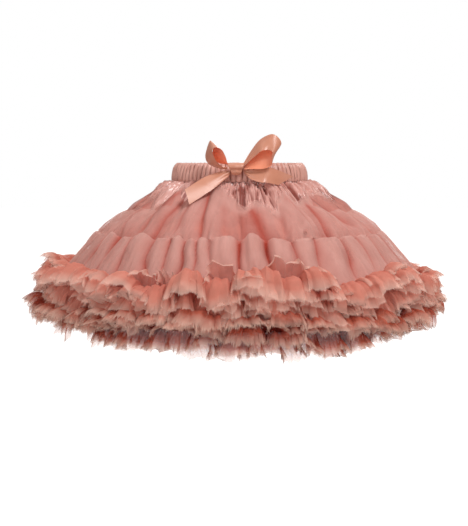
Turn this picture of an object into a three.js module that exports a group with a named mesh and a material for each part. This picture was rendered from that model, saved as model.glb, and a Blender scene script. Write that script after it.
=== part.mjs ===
import * as THREE from "three";

// A child's full tulle skirt, filled out as it is worn, with nothing inside it.
// Sizes are in millimetres, +Z is up, and the front with the bow faces -Y.
// The origin is the middle of the waistband, where a waist holds the skirt up.

// Driving sizes
const clothWall = 1.2;
const seamGap = 0.3;
const tulleOverYokeGap = 1.3;
const underSkirtGap = 0.7;
const hemAllowance = 3;
const fullTurn = 2 * Math.PI;

// Points round each piece's rings
const columns = {
  waistband: 120,
  yoke: 144,
  upperTier: 144,
  lowerTier: 160,
  hemRuffle: 180,
  underSkirt: 72,
  underRuffle: 160,
};

const waistband = {
  height: 24,
  topSide: 86,
  topFront: 71,
  bottomSide: 91,
  bottomFront: 76,
  thickness: 4,
  bulge: 1.6,
  ribs: 40,
  ribDrift: 1.3,
  ribHeight: 1.3,
  innerInset: 0.8,
};

// The outer skirt's section, from the waistband down to the hem ruffle's stitching
const outerSections = [
  { name: "under the waistband", side: 91, front: 76, height: -12.8 },
  { name: "middle of the satin yoke", side: 108, front: 92, height: -22 },
  { name: "end of the satin yoke", side: 144, front: 127, height: -50 },
  { name: "seam between the tiers", side: 189, front: 171, height: -81 },
  { name: "middle of the lower tier", side: 216, front: 198, height: -109 },
  { name: "hem ruffle's stitching", side: 243, front: 225, height: -140 },
];
const yokeEnd = 2;
const tierSeam = 3;
const hemStitch = 5;

// The under skirt's section, from the yoke's end down to its own ruffle's stitching
const innerSections = [
  { name: "yoke's end", side: 144, front: 127, height: -50 },
  { name: "upper third", side: 178, front: 161, height: -90 },
  { name: "lower third", side: 215, front: 198, height: -134 },
  { name: "under ruffle's stitching", side: 252, front: 235, height: -178 },
];
const innerEnd = 3;

// Folds round each piece: how many there are, and how far they stand at its rows
const yokeFolds = { count: 22, drift: 0.4, heights: [0.5, 3.6, 1.5] };
const upperFolds = { count: 22, drift: 0.4, heights: [0, 3.6, 4.6, 2.4] };
const lowerFolds = { count: 32, drift: 1.7, heights: [0, 5.5, 2.2] };
const innerFolds = { count: 10, drift: 2.3, heights: [0.3, 2.5, 3, 1.4] };
const scallops = { count: 14, drift: 2.0, station: 1.2, reach: 0.5 };

// How unevenly the folds are spaced round the skirt, and how far their heights differ
const foldSpacing = { threefold: 1.1, sevenfold: 0.6 };
const foldStrength = { mean: 0.82, swing: 0.18 };

// Puffed rows: how far the cloth stands off the skirt's section between its seams
const upperPuff = [0, 4.2, 5, 0];
const lowerPuff = [0, 8, 0];

// Ruffle strips are stitched along their middle, so both edges stand free.
// out and up are measured from the stitching, wave is how far the edge waves.
const hemRuffle = {
  waves: 36,
  drift: 0.9,
  gap: 2,
  rows: [
    { name: "upper edge", out: -4, up: 31, wave: 7.5 },
    { name: "upper half", out: -2, up: 17, wave: 3 },
    { name: "stitching", out: 0, up: 0, wave: 0.5 },
    { name: "lower half", out: 12, up: -12, wave: 4.5 },
    { name: "lower edge", out: 20, up: -26, wave: 8 },
  ],
};
const underRuffle = {
  waves: 32,
  drift: 3.6,
  gap: 1.2,
  rows: [
    { name: "upper edge", out: 35, up: 16, wave: 6.5 },
    { name: "upper half", out: 20, up: 3, wave: 3 },
    { name: "stitching", out: 0, up: 0, wave: 0.5 },
    { name: "lower half", out: 10, up: -12, wave: 4.5 },
    { name: "lower edge", out: 20, up: -25, wave: 8.5 },
  ],
};
const ruffleEdgeRise = 2.5;
const ruffleRowTwist = 0.12;
const ruffleStrength = { mean: 0.85, swing: 0.15 };

const ribbonWall = 1;
const ribbonSteps = 3;

// The knot, seen from the front, and how deep it is from the waistband outwards
const knot = { back: -76.7, depth: 11, bevel: 1.8 };
const knotCorners = [
  { x: -14.6, z: 12.5 },
  { x: 4.2, z: 12.5 },
  { x: 4.2, z: -1 },
  { x: -1, z: -3.6 },
  { x: -10.5, z: -3 },
  { x: -14.6, z: 4 },
];

// The ribbon's middle line, with the half width that reaches across it
const rightLoopRows = [
  { x: 5.6, y: -82, z: 10.4, acrossX: -0.6, acrossY: 2.4, acrossZ: 1.8 },
  { x: 15, y: -84.5, z: 20, acrossX: -2, acrossY: 6, acrossZ: 4 },
  { x: 24, y: -88, z: 29.5, acrossX: -0.5, acrossY: 8, acrossZ: 5 },
  { x: 34, y: -90.5, z: 36.6, acrossX: 2, acrossY: 5.8, acrossZ: 9 },
  { x: 45, y: -91, z: 34, acrossX: 3.4, acrossY: 6, acrossZ: 8.6 },
  { x: 47.6, y: -90, z: 25, acrossX: 3.2, acrossY: 9, acrossZ: 5.4 },
  { x: 43.6, y: -89, z: 17, acrossX: 2, acrossY: 9.2, acrossZ: 5 },
  { x: 29, y: -87, z: 12, acrossX: 1, acrossY: 8.6, acrossZ: 4.6 },
  { x: 15, y: -84, z: 8, acrossX: 0, acrossY: 5, acrossZ: 3 },
  { x: 5.6, y: -82.4, z: 5.6, acrossX: 0, acrossY: 2.4, acrossZ: 1.3 },
];
const leftLoopRows = [
  { x: -16, y: -83, z: 6.2, acrossX: 0, acrossY: 2.4, acrossZ: -0.6 },
  { x: -24, y: -86, z: 5.6, acrossX: -1.5, acrossY: 5.5, acrossZ: -1.2 },
  { x: -34, y: -88.5, z: 10, acrossX: -6, acrossY: 8, acrossZ: -1.6 },
  { x: -38.4, y: -89.5, z: 18.4, acrossX: -5.8, acrossY: 9, acrossZ: -0.4 },
  { x: -37.6, y: -90, z: 28.4, acrossX: -2.6, acrossY: 10.2, acrossZ: 2 },
  { x: -32.4, y: -89.5, z: 35, acrossX: -2.6, acrossY: 9.4, acrossZ: 4.6 },
  { x: -25, y: -88, z: 29.6, acrossX: -1, acrossY: 10, acrossZ: 3.4 },
  { x: -20, y: -85, z: 19, acrossX: -0.4, acrossY: 6.6, acrossZ: 1.4 },
  { x: -16, y: -82.4, z: 10.8, acrossX: -0.6, acrossY: 2.4, acrossZ: 0 },
];
const leftTailRows = [
  { x: -13.3, y: -82, z: 0, acrossX: 1.3, acrossY: -0.5, acrossZ: -2.2 },
  { x: -23, y: -87, z: -4.4, acrossX: 2, acrossY: -3.5, acrossZ: -5.6 },
  { x: -39, y: -95, z: -13, acrossX: 3.4, acrossY: -5, acrossZ: -8.6 },
  { x: -53.5, y: -103, z: -21.8, acrossX: 3.5, acrossY: -5, acrossZ: -9 },
  { x: -66, y: -110.5, z: -30, acrossX: 2.9, acrossY: -4.6, acrossZ: -9.4 },
];
const rightTailRows = [
  { x: 5.4, y: -82.4, z: 0.9, acrossX: -0.6, acrossY: 0.4, acrossZ: 2 },
  { x: 13, y: -85, z: -2.6, acrossX: -1, acrossY: 2.4, acrossZ: 5.6 },
  { x: 25.6, y: -88, z: -4, acrossX: -1.4, acrossY: 5, acrossZ: 8.2 },
  { x: 37.5, y: -88, z: -3.4, acrossX: 4, acrossY: 3, acrossZ: 9 },
  { x: 58.6, y: -82, z: -10.4, acrossX: 9.2, acrossY: 1.5, acrossZ: 5.4 },
];

const dustyTulle = new THREE.MeshStandardMaterial({ color: 0xc4857a, roughness: 0.9 });
const shadedTulle = new THREE.MeshStandardMaterial({ color: 0xb06f60, roughness: 0.9 });
const bandSatin = new THREE.MeshStandardMaterial({ color: 0xc08f82, roughness: 0.45 });
const peachSatin = new THREE.MeshStandardMaterial({ color: 0xe2ad96, roughness: 0.35 });

function mix(a, b, share) {
  return a + (b - a) * share;
}

// Reads a list of values between its entries: 1.5 is halfway from entry 1 to entry 2.
function valueAt(values, place) {
  const entry = Math.max(0, Math.min(Math.floor(place), values.length - 2));
  return mix(values[entry], values[entry + 1], place - entry);
}

function sectionAt(sections, station) {
  const read = (column) => valueAt(sections.map((row) => row[column]), station);
  return { side: read("side"), front: read("front"), height: read("height") };
}

// The section's own normal, pointing out of the skirt
function sectionNormal(sections, station) {
  const before = sectionAt(sections, station - 0.5);
  const after = sectionAt(sections, station + 0.5);
  const run = after.side - before.side;
  const drop = before.height - after.height;
  const length = Math.hypot(run, drop);
  return { out: drop / length, up: run / length };
}

// How many stations a length along the section's slant is, just past a station
function stationsIn(sections, station, length) {
  const from = sectionAt(sections, station);
  const to = sectionAt(sections, station + 1);
  return length / Math.hypot(to.side - from.side, to.height - from.height);
}

function skirtPoint(sections, station, angle, lift, along = { out: 0, up: 0 }) {
  const section = sectionAt(sections, station);
  const normal = sectionNormal(sections, station);
  const out = lift * normal.out + along.out;
  return new THREE.Vector3(
    (section.side + out) * Math.cos(angle),
    (section.front + out) * Math.sin(angle),
    section.height + lift * normal.up + along.up,
  );
}

// Folds are unevenly spaced, so the phase runs faster in some places than in others.
function foldPhase(angle, count, drift) {
  const threefold = foldSpacing.threefold * Math.sin(3 * angle + drift);
  const sevenfold = foldSpacing.sevenfold * Math.sin(7 * angle + 2 * drift);
  return count * angle + threefold + sevenfold;
}

// Round crests with narrow valleys, from -1 to 1
function foldShape(angle, folds) {
  const phase = foldPhase(angle, folds.count, folds.drift);
  const strength = foldStrength.mean + foldStrength.swing * Math.sin(5 * angle + 3 * folds.drift);
  return (2 * Math.abs(Math.cos(phase / 2)) - 1) * strength;
}

function yokeLift(angle, station) {
  return foldShape(angle, yokeFolds) * valueAt(yokeFolds.heights, station);
}

// A closed ring between an outer and an inner grid of points, both [row][column]
function ringBetween(outer, inner) {
  const rows = outer.length;
  const around = outer[0].length;
  const positions = [...outer.flat(), ...inner.flat()].flatMap((p) => [p.x, p.y, p.z]);
  const indices = [];
  const outerAt = (row, column) => row * around + (column % around);
  const innerAt = (row, column) => (rows + row) * around + (column % around);
  const quad = (a, b, c, d) => indices.push(a, b, c, a, c, d);
  for (let column = 0; column < around; column += 1) {
    const next = column + 1;
    for (let row = 0; row + 1 < rows; row += 1) {
      const below = row + 1;
      quad(outerAt(row, column), outerAt(below, column), outerAt(below, next), outerAt(row, next));
      quad(innerAt(row, column), innerAt(row, next), innerAt(below, next), innerAt(below, column));
    }
    const last = rows - 1;
    quad(outerAt(0, next), innerAt(0, next), innerAt(0, column), outerAt(0, column));
    quad(outerAt(last, column), innerAt(last, column), innerAt(last, next), outerAt(last, next));
  }
  const geometry = new THREE.BufferGeometry();
  geometry.setAttribute("position", new THREE.Float32BufferAttribute(positions, 3));
  geometry.setIndex(indices);
  return geometry;
}

function ringGrid(rows, around, pointAt) {
  const grid = [];
  for (let row = 0; row < rows; row += 1) {
    const line = [];
    for (let column = 0; column < around; column += 1) {
      line.push(pointAt((fullTurn * column) / around, row));
    }
    grid.push(line);
  }
  return grid;
}

// The inner face is the outer one, moved one wall thickness back along the section's normal.
function clothRing(rows, around, pointAt) {
  const outer = ringGrid(rows, around, (angle, row) => pointAt(angle, row, 0));
  const inner = ringGrid(rows, around, (angle, row) => pointAt(angle, row, clothWall));
  return ringBetween(outer, inner);
}

// The elastic casing: ribbed outside, plain inside
function waistbandShape() {
  const rows = 3;
  const pointAt = (angle, row, lift, inset) => {
    const share = row / (rows - 1);
    const side = mix(waistband.topSide, waistband.bottomSide, share) + lift;
    const front = mix(waistband.topFront, waistband.bottomFront, share) + lift;
    const height = mix(waistband.height / 2 - inset, inset - waistband.height / 2, share);
    return new THREE.Vector3(side * Math.cos(angle), front * Math.sin(angle), height);
  };
  const outer = ringGrid(rows, columns.waistband, (angle, row) => {
    const rib = Math.cos(foldPhase(angle, waistband.ribs, waistband.ribDrift)) * waistband.ribHeight;
    const middle = row === 1;
    return pointAt(angle, row, middle ? waistband.bulge + rib : 0.5 * rib, 0);
  });
  const inner = ringGrid(rows, columns.waistband, (angle, row) =>
    pointAt(angle, row, -waistband.thickness, waistband.innerInset),
  );
  return ringBetween(outer, inner);
}

function yokeShape() {
  const rows = yokeFolds.heights.length;
  return clothRing(rows, columns.yoke, (angle, row, inset) =>
    skirtPoint(outerSections, row, angle, yokeLift(angle, row) - inset),
  );
}

// The tulle's top edge rises and falls in scallops over the satin.
function scallopStation(angle) {
  const phase = foldPhase(angle, scallops.count, scallops.drift);
  return scallops.station + scallops.reach * (1 - 2 * Math.abs(Math.cos(phase / 2)));
}

function upperTierShape() {
  const rows = upperPuff.length;
  const overYoke = clothWall + tulleOverYokeGap;
  return clothRing(rows, columns.upperTier, (angle, row, inset) => {
    const share = row / (rows - 1);
    const station = mix(scallopStation(angle), tierSeam, share);
    const onYoke = row === 0 ? yokeLift(angle, station) + overYoke : 0;
    const fold = foldShape(angle, upperFolds) * upperFolds.heights[row];
    return skirtPoint(outerSections, station, angle, onYoke + upperPuff[row] + fold - inset);
  });
}

// How far a lower tier's row stands off the section, with the upper tier's folds at the seam
function lowerLift(angle, row) {
  const seamFold = row === 0 ? foldShape(angle, upperFolds) * upperFolds.heights.at(-1) : 0;
  return seamFold + lowerPuff[row] + foldShape(angle, lowerFolds) * lowerFolds.heights[row];
}

function lowerTierShape() {
  const rows = lowerPuff.length;
  const start = tierSeam + stationsIn(outerSections, tierSeam, seamGap);
  const end = hemStitch + stationsIn(outerSections, hemStitch - 1, hemAllowance);
  return clothRing(rows, columns.lowerTier, (angle, row, inset) => {
    const station = mix(start, end, row / (rows - 1));
    return skirtPoint(outerSections, station, angle, lowerLift(angle, row) - inset);
  });
}

function underSkirtShape() {
  const rows = innerFolds.heights.length;
  const end = innerEnd + stationsIn(innerSections, innerEnd - 1, hemAllowance);
  return clothRing(rows, columns.underSkirt, (angle, row, inset) => {
    const underYoke = row === 0 ? -yokeFolds.heights[yokeEnd] - clothWall - underSkirtGap : 0;
    const station = row === rows - 1 ? end : row;
    const lift = underYoke + foldShape(angle, innerFolds) * innerFolds.heights[row];
    return skirtPoint(innerSections, station, angle, lift - inset);
  });
}

// A strip gathered along its middle onto a skirt's face, which stands seatLift off its section
function ruffleShape(ruffle, around, sections, station, seatLift) {
  const rows = ruffle.rows;
  const last = rows.length - 1;
  return clothRing(rows.length, around, (angle, row, inset) => {
    const above = rows[Math.max(row - 1, 0)];
    const below = rows[Math.min(row + 1, last)];
    const run = below.out - above.out;
    const drop = above.up - below.up;
    const length = Math.hypot(run, drop);
    const phase = foldPhase(angle, ruffle.waves, ruffle.drift + ruffleRowTwist * row);
    const swing = ruffleStrength.swing * Math.sin(4 * angle + ruffle.drift);
    const strength = ruffleStrength.mean + swing;
    const wave = Math.sin(phase) * rows[row].wave * strength - inset;
    const edge = row === 0 || row === last ? Math.cos(2 * phase + row) * ruffleEdgeRise : 0;
    const along = {
      out: rows[row].out + (wave * drop) / length,
      up: rows[row].up + (wave * run) / length + edge,
    };
    return skirtPoint(sections, station, angle, seatLift(angle), along);
  });
}

function hemRuffleShape() {
  const bottomRow = lowerPuff.length - 1;
  const seatLift = (angle) => lowerLift(angle, bottomRow) + clothWall + hemRuffle.gap;
  return ruffleShape(hemRuffle, columns.hemRuffle, outerSections, hemStitch, seatLift);
}

function underRuffleShape() {
  const bottomFold = innerFolds.heights.at(-1);
  const seatLift = (angle) =>
    foldShape(angle, innerFolds) * bottomFold + clothWall + underRuffle.gap;
  return ruffleShape(underRuffle, columns.underRuffle, innerSections, innerEnd, seatLift);
}

// A flat ribbon along its rows, as a closed strip with square ends
function ribbonShape(rows) {
  const middles = rows.map((row) => new THREE.Vector3(row.x, row.y, row.z));
  const across = rows.map((row) => new THREE.Vector3(row.acrossX, row.acrossY, row.acrossZ));
  const middleLine = new THREE.CatmullRomCurve3(middles);
  const acrossLine = new THREE.CatmullRomCurve3(across);
  const steps = (rows.length - 1) * ribbonSteps;
  const places = [];
  for (let step = 0; step <= steps; step += 1) {
    const middle = middleLine.getPoint(step / steps);
    const half = acrossLine.getPoint(step / steps);
    const normal = middleLine.getTangent(step / steps).cross(half).normalize();
    normal.multiplyScalar(ribbonWall / 2);
    for (const [edge, face] of [[1, 1], [-1, 1], [-1, -1], [1, -1]]) {
      places.push(middle.clone().addScaledVector(half, edge).addScaledVector(normal, face));
    }
  }
  const indices = [];
  const corners = 4;
  const quad = (a, b, c, d) => indices.push(a, b, c, a, c, d);
  for (let step = 0; step < steps; step += 1) {
    for (let corner = 0; corner < corners; corner += 1) {
      const next = (corner + 1) % corners;
      const here = step * corners;
      const there = here + corners;
      quad(here + corner, here + next, there + next, there + corner);
    }
  }
  const end = steps * corners;
  quad(3, 2, 1, 0);
  quad(end, end + 1, end + 2, end + 3);
  const geometry = new THREE.BufferGeometry();
  geometry.setAttribute("position", new THREE.Float32BufferAttribute(
    places.flatMap((p) => [p.x, p.y, p.z]), 3));
  geometry.setIndex(indices);
  return geometry;
}

// Its outline is drawn in x and z and runs from its back towards the front.
function knotShape() {
  const outline = new THREE.Shape(knotCorners.map((corner) => new THREE.Vector2(corner.x, corner.z)));
  const geometry = new THREE.ExtrudeGeometry(outline, {
    depth: knot.depth - 2 * knot.bevel,
    bevelEnabled: true,
    bevelThickness: knot.bevel,
    bevelSize: knot.bevel,
    bevelOffset: -knot.bevel,
    bevelSegments: 3,
  });
  return geometry.rotateX(Math.PI / 2).translate(0, knot.back - knot.bevel, 0);
}

function piece(name, geometry, material) {
  const mesh = new THREE.Mesh(geometry, material);
  mesh.name = name;
  return mesh;
}

const skirt = new THREE.Group();
skirt.add(
  piece("waistband", waistbandShape(), bandSatin),
  piece("satin_yoke", yokeShape(), bandSatin),
  piece("upper_tier", upperTierShape(), dustyTulle),
  piece("lower_tier", lowerTierShape(), dustyTulle),
  piece("hem_ruffle", hemRuffleShape(), dustyTulle),
  piece("under_skirt", underSkirtShape(), shadedTulle),
  piece("under_ruffle", underRuffleShape(), shadedTulle),
);

const bow = new THREE.Group();
bow.add(
  piece("bow_knot", knotShape(), peachSatin),
  piece("bow_loop_right", ribbonShape(rightLoopRows), peachSatin),
  piece("bow_loop_left", ribbonShape(leftLoopRows), peachSatin),
  piece("bow_tail_left", ribbonShape(leftTailRows), peachSatin),
  piece("bow_tail_right", ribbonShape(rightTailRows), peachSatin),
);
skirt.add(bow);

export default skirt;
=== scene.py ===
import math
import random

import bmesh
import bpy
from mathutils import Matrix, Vector, noise


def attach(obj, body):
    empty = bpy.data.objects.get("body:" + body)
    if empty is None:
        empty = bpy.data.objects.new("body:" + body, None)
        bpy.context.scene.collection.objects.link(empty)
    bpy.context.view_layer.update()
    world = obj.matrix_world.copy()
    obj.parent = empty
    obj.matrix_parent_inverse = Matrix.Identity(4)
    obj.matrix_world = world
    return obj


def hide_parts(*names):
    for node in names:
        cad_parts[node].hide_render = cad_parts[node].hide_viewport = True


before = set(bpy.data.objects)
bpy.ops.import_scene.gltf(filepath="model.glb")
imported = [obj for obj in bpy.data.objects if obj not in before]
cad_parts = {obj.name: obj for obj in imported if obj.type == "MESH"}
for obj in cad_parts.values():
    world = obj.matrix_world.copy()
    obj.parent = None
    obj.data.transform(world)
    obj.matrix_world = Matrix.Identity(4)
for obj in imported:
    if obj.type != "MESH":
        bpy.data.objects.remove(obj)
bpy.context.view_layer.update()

mm = 0.001
fullTurn = 2 * math.pi
backAngle = 0.5 * math.pi  # seams are at the back, +Y
frontAngle = 1.5 * math.pi  # the bow faces -Y

# Camera: level with the waist, 1.36 m in front of the skirt's axis
camera = {
    "distance": 1.36, "height": 0.015,
    "centreX": -0.0075, "centreZ": -0.124,  # where the middle of the frame passes the axis
    "focusPixels": 1000, "frameLong": 526, "sensor": 36,
}

# Both skirts' sections from the top down: half widths to the side and front, and height, in mm
outerSections = [
    (91, 76, -12.8),  # under the waistband
    (108, 92, -22),
    (144, 127, -50),  # end of the satin yoke
    (189, 171, -81),  # seam between the tiers
    (216, 198, -109),
    (243, 225, -140),  # the hem ruffle's stitching
]
innerSections = [
    (144, 127, -50),  # yoke's end
    (178, 161, -90),
    (215, 198, -134),
    (252, 235, -178),  # the under ruffle's stitching
]
tierSeam = 3
hemStitch = 5
innerStitch = 3
sectionStep = 0.25  # how far each way along the sections a slope is read
hemRadius = 240  # mean half width at the ruffles, which turns mm round the skirt into an angle

# The folds that the frame's solids have too, so that both have one form
yokeFolds = {"count": 22, "drift": 0.4, "heights": [0.5, 3.6, 1.5]}
upperFolds = {"count": 22, "drift": 0.4, "heights": [0, 3.6, 4.6, 2.4]}
innerFolds = {"count": 10, "drift": 2.3, "heights": [0.3, 2.5, 3, 1.4]}
scallops = {"count": 14, "drift": 2.0, "station": 1.2, "reach": 0.5}


def mix(a, b, share):
    return a + (b - a) * share


def clamp(value, low=0.0, high=1.0):
    return max(low, min(high, value))


def smoothStep(low, high, value):
    share = clamp((value - low) / (high - low))
    return share * share * (3 - 2 * share)


def smoothValue(values, place):
    # a curve through all the values, read between its entries
    entry = int(clamp(math.floor(place), 0, len(values) - 2))
    share = place - entry
    before = values[max(entry - 1, 0)]
    start = values[entry]
    end = values[entry + 1]
    after = values[min(entry + 2, len(values) - 1)]
    bend = 2 * before - 5 * start + 4 * end - after
    twist = 3 * (start - end) + after - before
    return start + 0.5 * share * (end - before + share * (bend + share * twist))


def sectionAt(sections, station):
    return [smoothValue([row[axis] for row in sections], station) for axis in range(3)]


def skirtPoint(sections, station, angle, lift, out=0.0, up=0.0):
    # lift is along the section's own normal, out and up are level and upright
    side, front, height = sectionAt(sections, station)
    sideBefore, _, heightBefore = sectionAt(sections, station - sectionStep)
    sideAfter, _, heightAfter = sectionAt(sections, station + sectionStep)
    run = sideAfter - sideBefore
    drop = heightBefore - heightAfter
    length = math.hypot(run, drop)
    out += lift * drop / length
    up += lift * run / length
    x = (side + out) * math.cos(angle)
    y = (front + out) * math.sin(angle)
    return Vector((x, y, height + up)) * mm


def foldPhase(angle, count, drift):
    # uneven spacing: the phase runs faster in some places than in others
    return count * angle + 1.1 * math.sin(3 * angle + drift) + 0.6 * math.sin(7 * angle + 2 * drift)


def foldShape(angle, folds):
    phase = foldPhase(angle, folds["count"], folds["drift"])
    strength = 0.82 + 0.18 * math.sin(5 * angle + 3 * folds["drift"])
    return (2 * math.sqrt(math.cos(phase / 2) ** 2 + 0.01) - 1) * strength


def foldLift(angle, folds, place):
    return foldShape(angle, folds) * smoothValue(folds["heights"], place)


def roundNoise(angle, size, level):
    # noise that closes on itself round the skirt, size features to a radian
    return noise.noise(Vector((math.cos(angle) * size, math.sin(angle) * size, level)))


def angleFromFront(angle):
    return (math.degrees(angle - frontAngle) + 180) % 360 - 180


def tableAt(table, angle, beyond):
    # a value listed at degrees from the front, and another beyond the table's ends
    place = angleFromFront(angle)
    for (left, first), (right, second) in zip(table, table[1:]):
        if left <= place <= right:
            return mix(first, second, smoothStep(left, right, place))
    return beyond


def creaseDepth(creases, angle, share):
    # soft troughs: degrees from the front at top and bottom, width in degrees, depth in mm, start and end
    place = angleFromFront(angle)
    soft = 0.12  # how softly a crease starts and ends
    total = 0.0
    for top, bottom, width, depth, start, end in creases:
        away = (place - mix(top, bottom, share) + 180) % 360 - 180
        if abs(away) < 9 * width:
            ends = smoothStep(start - soft, start + soft, share)
            ends *= 1 - smoothStep(end - soft, end + soft, share)
            valley = 0.45 * math.exp(-((away / width) ** 2)) + 0.85 * math.exp(-abs(away) / (2 * width))
            total += depth * ends * valley
    return total


def makeFlaps(seed, average, byHand=()):
    # flaps or puffs in order from the left side over the front; each is its width in degrees, its pleats,
    # then how high, how long, how far rolled over, how full, how leaning and how tilted up it is
    dice = random.Random(seed)
    flaps = list(byHand)
    left = 360 - sum(flap[0] for flap in flaps)
    widths = [dice.uniform(0.6, 1.4) for _ in range(round(left / average))]
    for width in widths:
        flaps.append((
            width * left / sum(widths), dice.choice((3, 4, 5, 6)), dice.uniform(0.6, 1.3),
            dice.uniform(0.75, 1.12), dice.uniform(0, 1), dice.uniform(0.6, 1.35), dice.uniform(-8, 8),
            dice.uniform(-0.4, 1) * (1 if len(flaps) % 2 else -1),
        ))
    return flaps


def flapAt(flaps, angle):
    # how far across its flap an angle is, and the flap's numbers, eased into its neighbour's
    place = (angleFromFront(angle) + 90) % 360
    number = 0
    while place >= flaps[number][0] and number < len(flaps) - 1:
        place -= flaps[number][0]
        number += 1
    flap = flaps[number]
    share = clamp(place / flap[0])
    other = flaps[number - 1] if share < 0.5 else flaps[(number + 1) % len(flaps)]
    own = 0.5 + 0.5 * smoothStep(0, 0.5, min(share, 1 - share))
    return share, flap[1], [mix(b, a, own) for a, b in zip(flap[2:], other[2:])]


def hiddenCreases(count, seed, widths, depths):
    # creases like the front's for the sides and back
    dice = random.Random(seed)
    creases = []
    for number in range(count):
        top = 70 + 220 * (number + dice.uniform(0.2, 0.8)) / count
        start = dice.uniform(-0.2, 0.25)
        creases.append((
            top, top + dice.uniform(-5, 5), dice.uniform(*widths), dice.uniform(*depths),
            start, start + dice.uniform(0.6, 1.1),
        ))
    return creases


# Finishes


def newMaterial(name, **values):
    material = bpy.data.materials.new(name)
    material.use_nodes = True
    shader = material.node_tree.nodes["Principled BSDF"]
    for socket, value in values.items():
        shader.inputs[socket.replace("_", " ")].default_value = value
    return material, material.node_tree, shader


def feed(tree, socket, value):
    # value is another node's output, or a constant
    if isinstance(value, bpy.types.NodeSocket):
        tree.links.new(value, socket)
    else:
        socket.default_value = value


def addNode(tree, kind, settings=None, **inputs):
    node = tree.nodes.new(kind)
    for key, value in (settings or {}).items():
        setattr(node, key, value)
    for key, value in inputs.items():
        feed(tree, node.inputs[key.replace("_", " ")], value)
    return node


def mathNode(tree, operation, *values):
    node = addNode(tree, "ShaderNodeMath", {"operation": operation})
    for socket, value in zip(node.inputs, values):
        feed(tree, socket, value)
    return node.outputs[0]


def rangeNode(tree, value, fromMin, fromMax, toMin=0.0, toMax=1.0, curve="LINEAR"):
    node = addNode(tree, "ShaderNodeMapRange", {"interpolation_type": curve}, Value=value)
    limits = {"From Min": fromMin, "From Max": fromMax, "To Min": toMin, "To Max": toMax}
    for key, limit in limits.items():
        node.inputs[key].default_value = limit
    return node.outputs[0]


def noiseNode(tree, place, scale, detail, roughness=0.5):
    settings = {"noise_dimensions": "2D"}
    return addNode(
        tree, "ShaderNodeTexNoise", settings, Vector=place, Scale=scale, Detail=detail, Roughness=roughness
    ).outputs["Fac"]


def attributeNode(tree, name):
    return addNode(tree, "ShaderNodeAttribute", {"attribute_name": name}).outputs["Fac"]


def colourBetween(tree, share, first, second):
    node = addNode(tree, "ShaderNodeMix", {"data_type": "RGBA"})
    tree.links.new(share, node.inputs["Factor"])
    colours = [socket for socket in node.inputs if socket.type == "RGBA"]
    for socket, value in zip(colours, (first, second)):
        feed(tree, socket, value)
    return [socket for socket in node.outputs if socket.type == "RGBA"][0]


def linear(red, green, blue):
    # a screen colour of 0 to 255 as the shader's own numbers
    def channel(value):
        value /= 255
        return value / 12.92 if value <= 0.04045 else ((value + 0.055) / 1.055) ** 2.4

    return (channel(red), channel(green), channel(blue), 1.0)


def newGroup(name, inputs, outputs):
    # an empty node group, with the place on the flat cloth for its patterns
    tree = bpy.data.node_groups.new(name, "ShaderNodeTree")
    for key, value in inputs.items():
        socket = tree.interface.new_socket(key, in_out="INPUT", socket_type="NodeSocketFloat")
        socket.default_value = value
    for key in outputs:
        tree.interface.new_socket(key, in_out="OUTPUT", socket_type="NodeSocketFloat")
    given = addNode(tree, "NodeGroupInput").outputs
    result = addNode(tree, "NodeGroupOutput").inputs
    return tree, given, result, addNode(tree, "ShaderNodeUVMap", {"uv_map": "cloth"}).outputs[0]


def stretched(tree, cloth, across, along):
    # the place on the cloth, times how many threads or streaks go in a metre each way
    parts = addNode(tree, "ShaderNodeSeparateXYZ", Vector=cloth)
    x = mathNode(tree, "MULTIPLY", parts.outputs[0], across)
    y = mathNode(tree, "MULTIPLY", parts.outputs[1], along)
    return addNode(tree, "ShaderNodeCombineXYZ", X=x, Y=y).outputs[0]


def makeNetWeave():
    # fine net: threads round small holes, and slow patches where the net is closer
    inputs = {"Pitch": 0.0011, "Thread": 0.16}
    tree, given, result, cloth = newGroup("netWeave", inputs, ("Threads", "Patches"))
    turned = addNode(tree, "ShaderNodeMapping", Vector=cloth, Rotation=(0, 0, 0.785))
    net = addNode(
        tree, "ShaderNodeTexVoronoi", {"feature": "DISTANCE_TO_EDGE", "voronoi_dimensions": "2D"},
        Vector=turned.outputs[0], Scale=mathNode(tree, "DIVIDE", 1.0, given["Pitch"]), Randomness=0.25,
    )
    edge = mathNode(tree, "SUBTRACT", net.outputs["Distance"], given["Thread"])
    feed(tree, result["Threads"], rangeNode(tree, edge, 0.05, -0.05))
    feed(tree, result["Patches"], noiseNode(tree, cloth, 28.0, 3.0, 0.6))
    return tree


def makeFrayedEdge():
    # Cloth is what is left of it near a cut edge, thread by thread; Tip is 1 at that edge, Root deep in
    inputs = {"Depth": 0.007, "Fineness": 900.0}
    tree, given, result, cloth = newGroup("frayedEdge", inputs, ("Cloth", "Tip", "Root"))
    streaks = noiseNode(tree, stretched(tree, cloth, given["Fineness"], 40.0), 1.0, 2.0, 0.7)
    clumps = noiseNode(tree, cloth, 140.0, 1.0)
    edge = attributeNode(tree, "edge")  # how far from the cut edge, in m
    both = mathNode(tree, "MULTIPLY_ADD", clumps, 0.6, streaks)
    reach = mathNode(tree, "MULTIPLY_ADD", both, 2.2, -1.05)
    reach = mathNode(tree, "MULTIPLY", reach, given["Depth"])
    cut = rangeNode(tree, mathNode(tree, "SUBTRACT", edge, reach), -0.0006, 0.0012)
    thin = rangeNode(tree, edge, 0.0, 0.02, 0.55)  # thinner over its last 20 mm
    feed(tree, result["Cloth"], mathNode(tree, "MULTIPLY", cut, thin))
    feed(tree, result["Tip"], rangeNode(tree, edge, 0.012, 0.0))
    feed(tree, result["Root"], rangeNode(tree, edge, 0.008, 0.03))
    return tree


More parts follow.
